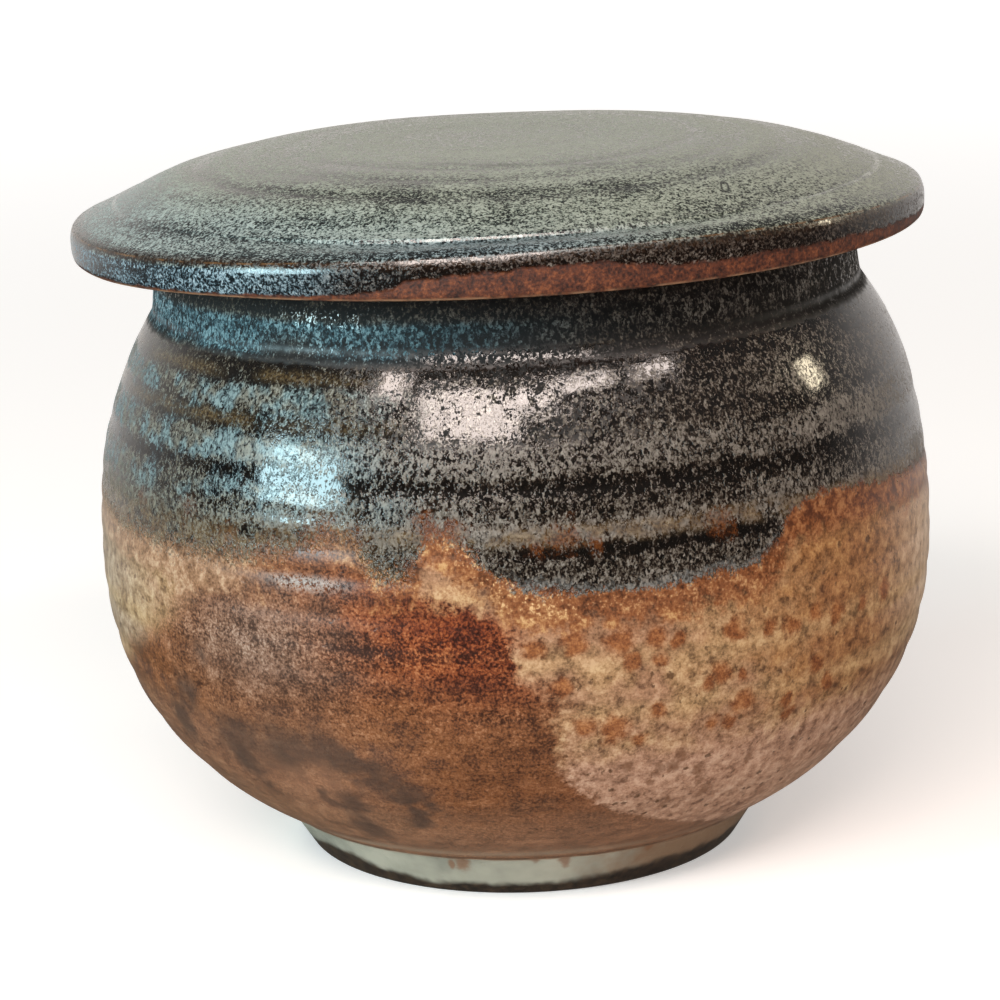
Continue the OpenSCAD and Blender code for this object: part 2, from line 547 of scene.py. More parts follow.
# The wall laid flat, with a little fraying, and the rust spots and freckles on the straw glaze. Each mark is
# given by where it is along the wall, its height and its reach, in millimetres.
mm_per_degree = 0.9
fray = 2.0
flat = at.node("ShaderNodeCombineXYZ", {}, {0: turn * mm_per_degree, 1: height, 2: 0.0})
wobble_look = {"Vector": at, "Scale": 0.5, "Detail": 1.0, "Roughness": 0.5}
wobble = at.node("ShaderNodeTexNoise", {}, wobble_look, "Color")
frayed = {0: wobble, 1: (fray, fray, 0), 2: flat}
flat = at.node("ShaderNodeVectorMath", {"operation": "MULTIPLY_ADD"}, frayed)
middle = (fray / 2, fray / 2, 0)
on_wall = at.node("ShaderNodeVectorMath", {"operation": "SUBTRACT"}, {0: flat, 1: middle})
blotches = (
    (1.6, 38.4, 1.6),
    (6.2, 38.9, 1.5),
    (11.3, 38.6, 1.8),
    (12.4, 36.4, 1.1),
    (15.4, 38.9, 1.4),
    (16.0, 36.2, 1.2),
    (17.8, 38.0, 0.9),
    (25.2, 38.3, 1.7),
    (30.2, 37.6, 1.2),
    (33.4, 37.2, 1.5),
    (37.2, 37.9, 1.2),
    (40.8, 37.2, 1.4),
    (45.6, 37.2, 1.0),
    (50.6, 37.6, 1.5),
    (4.6, 33.6, 1.3),
    (23.6, 33.4, 1.3),
    (22.0, 32.2, 1.0),
    (26.4, 32.8, 0.7),
    (37.8, 31.3, 1.3),
    (16.0, 30.0, 1.3),
    (7.4, 28.6, 1.5),
    (10.6, 28.0, 1.9),
    (13.6, 26.4, 1.2),
    (27.0, 29.0, 1.7),
    (23.2, 27.0, 1.0),
    (25.6, 26.6, 1.1),
    (33.6, 28.0, 1.0),
    (34.4, 26.0, 1.2),
    (40.4, 28.6, 1.1),
)
spotted = marks(on_wall, blotches)
blotch = rise(spotted + (fine - 0.5) * 0.5 + (coarse - 0.5) * 0.5, 1.3, 0.45)
freckles = (
    (18.9, 22.0, 1.1),
    (19.6, 23.4, 1.0),
    (12.6, 22.4, 0.9),
    (17.2, 21.6, 1.0),
    (16.4, 20.0, 0.7),
    (24.0, 18.6, 0.8),
    (25.2, 16.6, 1.2),
    (19.8, 16.0, 0.7),
    (30.4, 20.8, 0.7),
    (22.8, 20.4, 0.8),
)
freckled = rise(marks(on_wall, freckles) + (fine - 0.5) * 0.6, 1.2, 0.5)
peppered = at.node("ShaderNodeTexVoronoi", {}, {"Vector": at, "Scale": 1 / 1.9}, "Distance")
pepper_size = at.node("ShaderNodeTexVoronoi", {}, {"Vector": at, "Scale": 1 / 1.9}, "Color")
pepper = rise(peppered - (pepper_size - 0.5) * 0.3 + (fine - 0.5) * 0.4, 0.16, 0.04)
spots = at.node("ShaderNodeTexVoronoi", {}, {"Vector": flat, "Scale": 1 / 5.6}, "Distance")
rows = hump(height, 38.0, 3.0) + hump(height, 28.0, 3.0) + hump(height, 33.0, 1.6) * 0.6
away = rise(facing(20), 0.62, 0.45)
spot = rise(spots + (fine - 0.5) * 0.1, 0.06 + rows * 0.24, rows * 0.1) * away * rise(facing(-90), 0.9, 0.4)

# The straw glaze: rosy in patches, tan below, amber and painted fawn light on the right, and paler on the
# left.
mottle = 0.5 + (coarse - 0.5) * 0.6 + (blob - 0.5) * 0.45 + (fine - 0.5) * 0.5 + (grit - 0.5) * 0.25
straw = shades(mottle, (0.3, "5c4029"), (0.4, "80603c"), (0.5, "9a7752"), (0.6, "aa8962"), (0.72, "ba9f78"))
rosy = shades(mottle, (0.3, "5a3a26"), (0.42, "7f5a40"), (0.55, "976f53"), (0.7, "ad876a"))
straw = over(straw, rosy, rise(cloud + (drift - 0.5) * 0.8, 0.44, 0.6) * 0.8)
tan = shades(mottle, (0.3, "6c4b37"), (0.42, "8d6850"), (0.54, "a37d64"), (0.7, "b8967d"))
straw = over(straw, tan, rise(height + (blob - 0.5) * 7, 27, 22))
amber = shades(mottle, (0.3, "4e2c10"), (0.42, "70431a"), (0.54, "8a5826"), (0.7, "a4753c"))
amber_side = rise(turn + (blob - 0.5) * 40, 20, 44) * rise(turn, 74, 54) * rise(height, 24, 29)
straw = over(straw, amber, amber_side * 0.75)
# Fawn at the right edge: painted light, lightening the glaze where the lamps leave the wall dim.
fawn_painted_edge_light = shades(mottle, (0.3, "7d5f45"), (0.42, "a3835f"), (0.55, "bb9a76"), (0.7, "cdb394"))
straw = over(straw, fawn_painted_edge_light, hump(turn, 76, 26) * rise(height, 26, 32) * 0.9)
pale = shades(mottle, (0.3, "563f2c"), (0.42, "7a6247"), (0.55, "957d63"), (0.7, "ad9980"))
straw = over(straw, pale, hump(turn, -72, 30) * rise(height, 28, 34))
lanes = hump(height + (blob - 0.5) * 3, 36.6, 2.6) + hump(height + (blob - 0.5) * 3, 29.8, 2.2)
straw = over(straw, shades(mottle, (0.32, "80643f"), (0.5, "ac8b5e"), (0.68, "c3a67a")), lanes * 0.45)
straw = over(straw, tint("50341c"), pepper * rise(drift + cloud * 0.6, 0.5, 0.74) * 0.75)
straw = over(straw, tint("6a4429"), freckled * 0.6)
stain = shades(fine * 0.4 + coarse * 0.3 + grit * 0.3, (0.36, "52270d"), (0.5, "7e4519"), (0.64, "9c6432"))
straw = over(straw, stain, blotch.maths("MAXIMUM", blotch, spot) * 0.9)

# The rust flush: russet, glowing red at its upper right, with a painted mauve sheen on the left, dusty below,
# and dark lines along two grooves.
stir = 0.75 + rise(height + (blob - 0.5) * 6, 22, 34) * 0.3 + hump(height + (blob - 0.5) * 3, 38, 4) * 0.4
weathered = (fine - 0.5) * 0.8 + (grit - 0.5) * 0.5 + (coarse - 0.5) * 0.3 + (blob - 0.5) * 0.6
weathered = 0.5 + weathered * stir + (thread - 0.5) * 0.2
russet = shades(
    weathered, (0.24, "341a0c"), (0.37, "4a2813"), (0.5, "6b3e1d"), (0.63, "7f4e2b"), (0.78, "986a48")
)
glow = hump(turn + (blob - 0.5) * 14, -8, 26)
glow = glow * rise(height + (cloud - 0.5) * 6, 28, 39) * rise(height, 50, 45)
ember = shades(
    weathered, (0.24, "2a0c02"), (0.37, "471804"), (0.5, "6c2c06"), (0.63, "844013"), (0.78, "9b5c30")
)
russet = over(russet, ember, glow)
# Mauve-grey on the left: painted sheen for the cool window's light spread over the satin glaze.
mauve_painted_sheen = shades(
    weathered, (0.24, "3f2b20"), (0.38, "564032"), (0.52, "6f5647"), (0.66, "826b5d"), (0.78, "958374")
)
painted_sheen_side = hump(turn + (blob - 0.5) * 12, -36, 22) * hump(height + (blob - 0.5) * 4, 37, 12)
russet = over(russet, mauve_painted_sheen, painted_sheen_side * 0.75)
umber = shades(weathered, (0.26, "563b27"), (0.4, "6e4d35"), (0.54, "825b40"), (0.7, "976e50"))
dusty = shades(weathered, (0.26, "5a3f30"), (0.4, "714e3b"), (0.54, "866048"), (0.7, "9c775d"))
dusty_side = rise(height + (blob - 0.5) * 6, 31, 23) * rise(turn + (blob - 0.5) * 20, -6, -32)
russet = over(russet, dusty, dusty_side * rise(turn, -170, -110) * 0.6)
russet = over(russet, umber, rise(height + (blob - 0.5) * 6, 20, 11) * 0.85)
line_low = hump(height + (blob - 0.5) * 1.4, 30.2, 1.3) * hump(turn, -4.5, 12)
line_low = line_low + hump(height + (blob - 0.5) * 1.6, 37.8, 1.5) * hump(turn, -14, 22) * 0.8
russet = over(russet, tint("2f160a"), line_low * rise(fine + (thread - 0.5) * 0.5, 0.62, 0.42) * 0.8)
blush = marks(on_wall, ((-31.0, 19.4, 5.0), (-26.0, 20.4, 4.0)))
russet = over(russet, tint("8a6147"), rise(blush + (blob - 0.5) * 2 + (coarse - 0.5), 1.3, 0.0) * 0.4)

# Smoke marks low on the left, as (along the wall, height, reach).
soot = (
    (-39.4, 23.0, 6.0),
    (-31.5, 23.6, 5.8),
    (-25.4, 24.2, 5.0),
    (-39.6, 20.0, 3.6),
    (-22.4, 23.0, 3.2),
    (-18.7, 21.4, 3.0),
    (-15.4, 18.8, 2.8),
    (-14.6, 15.0, 2.6),
    (-28.1, 17.6, 2.0),
    (-24.0, 17.0, 3.8),
    (-24.0, 12.4, 4.0),
    (-45.7, 29.0, 3.6),
    (-41.2, 34.2, 2.8),
    (-50.0, 24.0, 3.4),
)
smoke = 0.0
for across, up_wall, size in soot:
    away_from = distance(on_wall, (across, up_wall, 0)) + (blob - 0.5) * 3.5 + (cloud - 0.5) * 4
    smoke = rise(away_from, size * 1.08, size * 0.15) + smoke
smoke = smoke.maths("MINIMUM", smoke, 1.0)
russet = over(russet, tint("382d27"), smoke * (0.68 + (blob - 0.5) * 0.7 + (fine - 0.5) * 0.5))
lower = over(straw, russet, rust)

# The scorched fringe under the iron glaze, sandy on the left, with a cream patch, a burnt notch and a painted
# sheen.
fringe = rise(depth + (blob - 0.5) * 4 + (coarse - 0.5) * 3, -5.4, -2.8)
scorch = shades(mottle, (0.28, "361909"), (0.4, "5f3212"), (0.5, "79441e"), (0.6, "8f5d34"), (0.7, "a98050"))
crumbs = rise(fine + (coarse - 0.5) * 0.4, 0.6, 0.68) * hump(depth, -1.2, 3.0)
scorch = over(scorch, tint("c9a576"), crumbs * (0.3 + hump(turn, 0, 14) * 0.7))
sandy = shades(mottle, (0.28, "4d321e"), (0.42, "77563b"), (0.54, "906c50"), (0.7, "ad9073"))
scorch = over(scorch, sandy, rise(turn, -30, -42) * rise(turn, -170, -120))
lower = over(lower, scorch, fringe * (0.95 - hump(turn + (blob - 0.5) * 12, -26, 15) * 0.9))
creamy = hump(turn + (blob - 0.5) * 8, -7, 8) * hump(height + (coarse - 0.5) * 3, 44.6, 2.6)
cream = shades(mottle, (0.36, "80562d"), (0.52, "9d764a"), (0.68, "b6996e"))
lower = over(lower, cream, creamy * rise(mottle, 0.36, 0.6) * 0.75)
cap = rise(turn + rag * 1.4, 34, 37) * rise(turn, 84, 62) * rise(height + rag, 46.6, 48.6)
lower = over(lower, shades(mottle, (0.38, "4d2610"), (0.5, "75421e"), (0.62, "916038")), cap * 0.85)
notch = hump(turn + rag, -10.4, 5.5) * rise(height + rag, 50.4, 52)
lower = over(lower, tint("5a2c12"), notch * 0.7)
# A pale grey streak where the cool window's reflection falls: a painted highlight, on a glossier patch.
painted_sheen_streak = hump(turn + (blob - 0.5) * 6, -27.5, 9) * hump(height + (fine - 0.5) * 0.8, 45.4, 1.5)
lower = over(lower, tint("8f8a84"), painted_sheen_streak * rise(fine, 0.38, 0.56) * 0.8)

# The iron glaze: how thickly its crystals grew at each height on the right and on the left, and its colours.
growth_right = (
    (43, 0.66),
    (45.6, 0.58),
    (47, 0.48),
    (48.4, 0.42),
    (49.8, 0.50),
    (51, 0.61),
    (52.4, 0.60),
    (53.6, 0.50),
    (54.8, 0.42),
    (55.7, 0.34),
    (56.3, 0.25),
    (56.9, 0.26),
    (57.6, 0.48),
    (58.6, 0.60),
    (59.8, 0.58),
    (61.2, 0.48),
    (62.2, 0.40),
    (63.0, 0.40),
    (64.6, 0.40),
    (66.4, 0.38),
    (68, 0.34),
    (69.4, 0.22),
    (70.4, 0.18),
    (71.2, 0.28),
    (73, 0.40),
    (74.6, 0.36),
    (76, 0.28),
    (79, 0.22),
)
growth_left = (
    (43, 0.66),
    (46.6, 0.46),
    (48.4, 0.44),
    (50, 0.48),
    (51.6, 0.56),
    (53, 0.56),
    (55, 0.54),
    (56.4, 0.44),
    (57.2, 0.30),
    (58.2, 0.46),
    (59.6, 0.62),
    (61.2, 0.60),
    (62.4, 0.40),
    (63.6, 0.34),
    (64.6, 0.56),
    (66, 0.66),
    (67, 0.56),
    (67.9, 0.30),
    (69, 0.30),
    (70, 0.38),
    (71, 0.50),
    (73, 0.56),
    (74.6, 0.42),
    (76, 0.24),
    (79, 0.22),
)
sway = height + (drift - 0.5) * 1.4 + (blob - 0.5) * 1.1
left = rise(facing(-78) + (cloud - 0.5) * 0.3, 0.35, 0.75)
thick = curve(sway, 43, 79, 0, 1, growth_right) * (1 - left) + curve(sway, 43, 79, 0, 1, growth_left) * left
right_lobe = rise(turn + rag, -3, 2) * rise(turn + rag, 36, 32)
gap = hump(turn + rag * 2, -34, 8) * hump(height + rag * 0.5, 70.6, 3.6)
thick = thick - right_lobe * hump(sway, 49.5, 1.3) * 0.42 - gap * 0.3
thick = thick - hump(height + (coarse - 0.5) * 0.8, 69.3, 1.5) * hump(turn, 2, 34) * 0.22
patchy = (ripple - 0.5) * 0.36 + (cloud - 0.5) * 0.3 + (blob - 0.5) * 0.2
crystals = thick - 0.03 + (worm - 0.5) * 1.25 + (flake - 0.5) * 0.7 + (fine - 0.5) * 0.5 + patchy
slate = shades(
    crystals,
    (0.18, "0a0705"),
    (0.34, "1a130e"),
    (0.45, "322a23"),
    (0.56, "4b453d"),
    (0.72, "625c54"),
    (1.0, "7d7870"),
)
teal = shades(
    crystals, (0.2, "020a0f"), (0.34, "06181f"), (0.46, "123039"), (0.6, "36565f"), (0.85, "6b8a91")
)
sage = shades(crystals, (0.2, "080604"), (0.34, "17130d"), (0.46, "2b271e"), (0.6, "454338"), (0.9, "6f7065"))
upper = over(slate, sage, left * 0.85)
blue_band = rise(height + (blob - 0.5) * 1.6, 69.4, 70.8) * rise(height + (coarse - 0.5), 75.0, 73.8)
blue_band = blue_band * rise(facing(-78) + (cloud - 0.5) * 0.3, -0.02, 0.42) * (1 - gap)
blue_tint = left * rise(height + (blob - 0.5) * 3, 51, 55) * rise(height, 69, 66) * rise(blob, 0.4, 0.6) * 0.6
upper = over(upper, teal, blue_band.maths("MAXIMUM", blue_band, blue_tint))
# Darker at the front of the neck, just under the lid's overhang: painted shade of the lid over the neck's own
# dark glaze.
upper = over(upper, tint("04090c"), hump(turn, 2, 36) * rise(height, 70.4, 71.8) * 0.4)
rusty = left * (hump(sway, 63.2, 1.4) + hump(sway, 68.2, 1.1)) * rise(cloud, 0.36, 0.56)
upper = over(upper, shades(fine, (0.36, "241a10"), (0.5, "43351f"), (0.64, "5f5138")), rusty * 0.7)
speckled = fine * 0.6 + coarse * 0.4
olive = shades(speckled, (0.36, "33261a"), (0.48, "54422d"), (0.56, "635139"), (0.68, "7b6b53"))
worn = (1 - left) * hump(sway, 51.4, 1.7) + left * rise(depth, 6.0, 2.0) * 0.8
upper = over(upper, olive, worn * rise(blob + (coarse - 0.5) * 0.5, 0.34, 0.54) * 0.85)
burns = (
    (-53.0, 51.4, 1.6),
    (-43.0, 52.0, 1.9),
    (-36.0, 49.6, 2.0),
    (-30.0, 48.8, 2.2),
    (-22.6, 51.4, 3.0),
    (-18.6, 50.4, 2.4),
    (-10.2, 53.2, 2.2),
    (-6.8, 52.4, 2.0),
    (2.4, 50.2, 1.6),
    (5.4, 50.9, 2.4),
    (9.0, 50.4, 1.6),
    (24.2, 50.8, 2.2),
)
burnt = marks(on_wall, burns)
burnt = rise(burnt + (coarse - 0.5) * 1.4 + (worm - 0.5) * 1.6, 1.1, 0.1)
upper = over(upper, shades(fine, (0.4, "35190a"), (0.6, "663a1b")), burnt * (0.75 - left * 0.35))
drip_edge = hump(depth, 0.55, 0.8) * right_lobe
upper = over(upper, shades(fine, (0.4, "35332f"), (0.62, "6a6c6b")), drip_edge * 0.7)
outer = over(lower, upper, iron)

# The foot's grey-green glaze with iron stains, its bare edge, a painted highlight above it, the bare rim and
# the pale inside.
foot_marks = ((-13.2, 5.0, 1.7), (-15.5, 4.8, 0.9), (8.0, 5.4, 1.4), (1.6, 6.0, 0.9), (26, 5.8, 1.4))
foot_stain = rise(marks(on_wall, foot_marks) + (fine - 0.5) * 0.6, 1.2, 0.4)
foot_brown = rise(facing(78) + (coarse - 0.5) * 0.2 + (blob - 0.5) * 0.3, 0.3, 0.75)
foot = shades(cloud * 0.6 + blob * 0.4, (0.36, "848376"), (0.5, "979586"), (0.64, "a4a191"))
foot = over(foot, tint("7c5a3c"), foot_brown * 0.85)
foot = over(foot, tint("7a4c2a"), foot_stain * 0.7)
bare = shades(coarse * 0.5 + fine * 0.5, (0.35, "1d1611"), (0.5, "33271e"), (0.65, "493828"))
dark_left = hump(turn, -52, 26) * 1.6
wet_edge = height + (blob - 0.5) * 1.8 - foot_brown * 1.0 - dark_left
foot = over(foot, bare, rise(wet_edge, 2.3, 1.1))
outer = over(foot, outer, rise(height + (blob - 0.5) * 0.8, 5.6, 6.1))
# A pale band on the bead just above the foot: a painted highlight.
bead_highlight = shades(fine, (0.4, "77604a"), (0.6, "a38b72"))
outer = over(outer, bead_highlight, hump(height + (blob - 0.5) * 1.0, 7.4, 1.2) * 0.55 * (1 - foot_brown * 0.5))
outer = over(outer, tint("3d2c1f"), hump(height + (blob - 0.5) * 0.5, 6.2, 0.4) * rise(blob, 0.4, 0.55) * 0.6)
liner = shades(cloud * 0.6 + fine * 0.4, (0.3, "6f7264"), (0.5, "8e8f7d"), (0.7, "a3a491"))
liner = over(liner, tint("4f3823"), pepper * 0.8)
clay = shades(speckled, (0.35, "4c2a19"), (0.5, "6e402a"), (0.65, "8a5a3d"))
rim_bare = rise(height + (coarse - 0.5) * 0.6, 77.3, 77.9)
skin = over(outer, liner, rise(side, 0.2, 0.8))
skin = over(skin, clay, rim_bare)
under_side = rise(side, -0.2, -0.8)
skin = over(skin, bare, under_side)

# Gloss and relief: glassy where the glaze ran thin, matt on the crystals, in the pits and on bare clay.
open_clay = rim_bare.maths("MAXIMUM", rim_bare, under_side)
crust = rise(thick + patchy + (worm - 0.5) * 0.5 + (flake - 0.5) * 0.3, 0.5, 0.64)
lit_lobes = hump(turn + (coarse - 0.5) * 6, -28, 17) * rise(height, 52.6, 54) * (1 - hump(height, 58.2, 1.3))
crust = crust * (1 - lit_lobes * 0.9)
on_neck = rise(height, 70.9, 71.9)
sparkle = rise(worm + (flake - 0.5) * 0.3, 0.6, 0.68)
lit = hump(turn, -2, 36) * rise(height, 60, 62.5)
pits = rise(worm + (flake - 0.5) * 0.2, 0.6, 0.68) * 0.45 * (1 - lit)
holes = rise(worm + (coarse - 0.5) * 0.7 + (cloud - 0.5) * 0.5, 0.43, 0.39) * lit
matte = 0.07 + pits + crust * (1 - lit * 0.8) * 0.4
matte = matte.maths("MAXIMUM", matte, holes)
wander = (coarse - 0.5) * 8
in_front = rise(turn + wander, -19, -9) * rise(turn + wander, 21, 9)
glints = rise(flake + (worm - 0.5) * 0.8, 0.5, 0.6) * in_front
root_matte = 0.9 - glints * 0.82 - sparkle * (1 - glints) * 0.5
matte = matte + (root_matte - matte) * hump(height + (coarse - 0.5) * 0.8, 70.4, 1.3)
matte = matte + (0.85 - sparkle * 0.7 - matte) * on_neck
plain = 0.36 + (fine - 0.5) * 0.3
gloss = plain + (matte - plain) * iron - painted_sheen_streak * 0.14 + open_clay * 0.35
rough_crystals = 0.008 + rise(height, 62.4, 60.4) * 0.016
relief = fine * 0.007 + coarse * 0.012 + ripple * 0.02
relief = relief + thread * (1 - iron) * 0.005 - pepper * (1 - iron) * 0.02
root = hump(height, 70.6, 1.0) * in_front * (fine * 0.03 + coarse * 0.03)
relief = relief + root + iron * 0.09 + iron * rise(crystals, 0.36, 0.6) * rough_crystals
bump = relief.node("ShaderNodeBump", {}, {"Strength": 1.0, "Distance": 0.001, "Height": relief})
values = {"Base Color": skin, "Roughness": gloss, "IOR": 1.6, "Normal": bump}
finish = skin.node("ShaderNodeBsdfPrincipled", {}, values)
finish.node("ShaderNodeOutputMaterial", {}, {"Surface": finish})
jar.data.materials.append(jar_glaze)
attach(jar, "jar")
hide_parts("jar_body")

# The lid: thrown upside down in the same stoneware, then turned to a gently domed disc.
# Its edge was left with a soft arris, and the flange underneath sits loosely inside the mouth.
# The lid has slid down the leaning rim until the flange rests near the mouth's wall.
lid_h = 10.5
lid_edge_h = 3.0
lid_t = 7.0
dome_r = 52.15
dome_fullness = 4.4
flange_r = 36.1
flange_t = 4.5
flange_h = 7.0
flange_edge_r = 1.4
lid_shift = 1.1
top_r = 45.8
hollow_r = 29.4

# Each turning line on the dome: its radius, its depth and how wide it is, in millimetres.
turning_lines = (
    (12.0, 0.05, 1.6),
    (25.2, 0.07, 1.2),
    (31.0, 0.05, 1.2),
    (37.2, 0.09, 1.1),
    (42.5, 0.06, 1.0),
)


def dome(r):
    return lid_edge_h + (lid_h - lid_edge_h) * (1 - (r / dome_r) ** dome_fullness)


def turning_cut(r):
    return sum(deep * math.exp(-(((r - at) / wide) ** 2)) for at, deep, wide in turning_lines)


top_steps = [top_r * i / 72 for i in range(73)]
top = [(r, dome(r) - turning_cut(r)) for r in top_steps]
shoulder = [(46.4, 6.02), (46.8, 5.85), (47.05, 5.74), (47.15, 5.7), (47.2, 5.68), (47.28, 5.64)]
shoulder += [(47.36, 5.6), (47.44, 5.57), (47.5, 5.54), (47.7, 5.45), (48.4, 5.14), (49.2, 4.78)]
shoulder += [(50.0, 4.43), (50.7, 4.13), (51.3, 3.87), (51.7, 3.69)]
arris = rounded(51.825, 2.6, 1.0, 68, 27, 5) + rounded(51.03, 1.9, 1.97, 21, 0, 5)
edge = [(53.0, 1.6), (52.98, 1.2), (52.94, 0.8), (52.88, 0.5), (52.76, 0.22), (52.55, 0.04)]
edge += [(52.2, -0.06), (51.6, -0.04)]
seat = [(r, 0.02) for r in (50.8, 48, 45, 42, 39.5, 37.6, 36.6)]
seat += [(36.2, -0.15)]
flange = [(flange_r, -0.6), (flange_r, -2.2), (flange_r, -4.0)]
flange += rounded(flange_r - flange_edge_r, flange_edge_r - flange_h, flange_edge_r, 0, -90, 6)
flange += rounded(flange_r - flange_t + flange_edge_r, flange_edge_r - flange_h, flange_edge_r, -90, -180, 6)
flange += [(flange_r - flange_t, -3.0), (flange_r - flange_t, -1.0), (flange_r - flange_t, 0.6)]
hollow = [(31.35, 1.8), (30.6, 2.55)]
hollow_steps = [hollow_r * (1 - i / 20) for i in range(21)]
hollow += [(r, dome(r) - lid_t) for r in hollow_steps]
lid_outline = top + shoulder + arris + edge + seat + flange + hollow
lid_sides = [0.0] * len(top + shoulder + arris + edge) + [-1.0] * len(seat + flange + hollow)
lid = draw_outline("lid_piece", lid_outline)
mark_outline(lid, lid_outline, lid_sides)
throw(lid, spin_steps)


def bearing_of(at):
    return math.degrees(math.atan2(at.x, -at.y))


def high_front(at):
    """The share of the rise at the front, where the edge was left deeper: all of it on the arris."""
    reach = math.hypot(at.x, at.y)
    outer = eased(reach, 45, 52.2) if at.z > 2.6 else eased(at.z, 0.2, 2.6) * eased(reach, 45, 46)
    return outer * eased(abs(bearing_of(at) - 10), 78, 0)


def front_step(at):
    """The share of the step at the front, where the shoulder was turned down a little."""
    reach = math.hypot(at.x, at.y)
    outer = eased(reach, 47.18, 47.46) * eased(reach, 51.4, 48.2) if at.z > 3.8 else 0.0
    return outer * eased(abs(bearing_of(at) - 2), 44, 16)


def low_edge(at):
    """1 on the lid's lower edge, falling to 0 at the arris and under the lid."""
    return eased(math.hypot(at.x, at.y), 46, 51) * eased(at.z, 2.8, 0.8)


def low_right(at):
    """The share of the sag on the right."""
    return low_edge(at) * eased(bearing_of(at), -30, 45) * eased(bearing_of(at), 150, 100)


def low_left(at):
    """The share of the sag on the left."""
    return low_edge(at) * eased(bearing_of(at), -30, -65) * eased(bearing_of(at), -165, -110)


def full_left(at):
    """The share of the fuller left half of the dome."""
    return eased(at.z, 5.5, 6.5) * eased(math.hypot(at.x, at.y), 47, 41) * eased(-at.x, -8, 24)


warp(lid, -0.5, front_step)
warp(lid, 1.6, high_front)
warp(lid, -0.45, low_right)
warp(lid, -0.5, low_left)
warp(lid, 0.4, full_left)
uneven(lid, 0.35, 30, lambda at: at.z > 5.6)
bpy.ops.object.mode_set(mode="EDIT")
bpy.ops.mesh.select_all(action="SELECT")
bpy.ops.transform.translate(value=(-lid_shift * mm, 0, jar_h * mm))
bpy.ops.transform.rotate(value=math.radians(rim_lean), orient_axis="Y", center_override=(0, 0, jar_h * mm))
bpy.ops.object.mode_set(mode="OBJECT")

# The lid's glaze: the same iron glaze, poured over the top, where it set to pale grey-green crystals.
# It broke to dark brown on the shoulder's ridges, and the lower edge was wiped back to rust-brown clay.
lid_glaze = bpy.data.materials.new("lid_glaze")
lid_glaze.use_nodes = True
shop = lid_glaze.node_tree
shop.nodes.clear()
start = Field(shop)
place = start.node("ShaderNodeTexCoord", {}, {}, "Object")
lean = math.radians(-rim_lean)
centre = (-lid_shift * mm * math.cos(lean), 0, (jar_h + lid_shift * math.sin(lean)) * mm)
on_lid = {"Vector": place, "Location": centre, "Rotation": (0, lean, 0)}
square = place.node("ShaderNodeMapping", {"vector_type": "TEXTURE"}, on_lid)
at = square.node("ShaderNodeVectorMath", {"operation": "SCALE"}, {0: square, "Scale": 1000.0})
x = at.node("ShaderNodeSeparateXYZ", {}, {0: at}, "X")
y = at.node("ShaderNodeSeparateXYZ", {}, {0: at}, "Y")
height = start.node("ShaderNodeAttribute", {"attribute_name": "wall_height"}, {}, "Fac")
side = start.node("ShaderNodeAttribute", {"attribute_name": "wall_side"}, {}, "Fac")
turn = x.maths("ARCTAN2", x, -y) * math.degrees(1)
flat = at.node("ShaderNodeCombineXYZ", {}, {0: x, 1: y, 2: 0.0})
reach = at.node("ShaderNodeVectorMath", {"operation": "LENGTH"}, {0: flat}, 1)
fine = grain(at, 0.36, 2.0, 0.6)
coarse = grain(at, 1.25, 1.0, 0.5)
blob = grain(at, 3.2, 2.0, 0.6)
cloud = grain(at, 8.0, 2.0, 0.5)
ring_space = at.node("ShaderNodeCombineXYZ", {}, {0: x / 26, 1: y / 26, 2: reach / 2.6})
ripple = grain(ring_space, 1.0, 1.0, 0.5)
worm = curdled(at, 3.8)
flake = flakes(at, at, 0.4)
outward = at.node("ShaderNodeVectorMath", {"operation": "NORMALIZE"}, {0: flat})

# How thickly the crystals grew at each radius, and the darker patches: (left to right, front to back, reach).
growth = (
    (0, 0.60),
    (8, 0.57),
    (12, 0.61),
    (18, 0.62),
    (22, 0.58),
    (24.3, 0.47),
    (25.2, 0.38),
    (26.2, 0.52),
    (28.4, 0.58),
    (30.2, 0.52),
    (31.2, 0.44),
    (32.6, 0.55),
    (35.2, 0.56),
    (36.8, 0.38),
    (37.9, 0.42),
    (39.6, 0.56),
    (43, 0.58),
    (45.8, 0.54),
    (47.2, 0.44),
    (48.6, 0.50),
    (50.6, 0.48),
    (52, 0.30),
    (53, 0.30),
)
thick = curve(reach + (cloud - 0.5) * 2.4 + (blob - 0.5) * 1.2, 0, 53, 0, 1, growth)
stains = (
    (-25.0, -24.0, 7.0),
    (-19.0, -19.0, 5.0),
    (-10.0, -35.0, 5.0),
    (2.0, -37.0, 4.0),
    (14.0, -34.0, 4.0),
)
patch = rise(marks(flat, stains) + (blob - 0.5) * 1.2 + (cloud - 0.5) * 1.2, 1.2, 0.3)
crystals = 0.56 + (worm - 0.5) * 1.5 + (fine - 0.5) * 0.7 + (flake - 0.5) * 0.5 + (thick - 0.5) * 0.6
crystals = crystals + (ripple - 0.5) * 0.36 - rise(facing(-75), 0.1, 0.9) * 0.05
crystals = crystals + (cloud - 0.5) * 0.24 - patch * 0.12
celadon = shades(
    crystals, (0.28, "0d1210"), (0.4, "343a33"), (0.49, "666e62"), (0.6, "889082"), (0.85, "a9b0a3")
)
# Bluer towards the left, on the side facing the cool window: painted cool light over the celadon crystals.
azure_painted_light = shades(
    crystals, (0.28, "0a1418"), (0.4, "2d3c41"), (0.49, "566669"), (0.6, "7a898a"), (0.85, "a0aeae")
)
painted_cool_light = rise(facing(-60), 0.0, 1.0) * rise(reach + (cloud - 0.5) * 6, 36, 48)
glaze = over(celadon, azure_painted_light, painted_cool_light * 0.7)

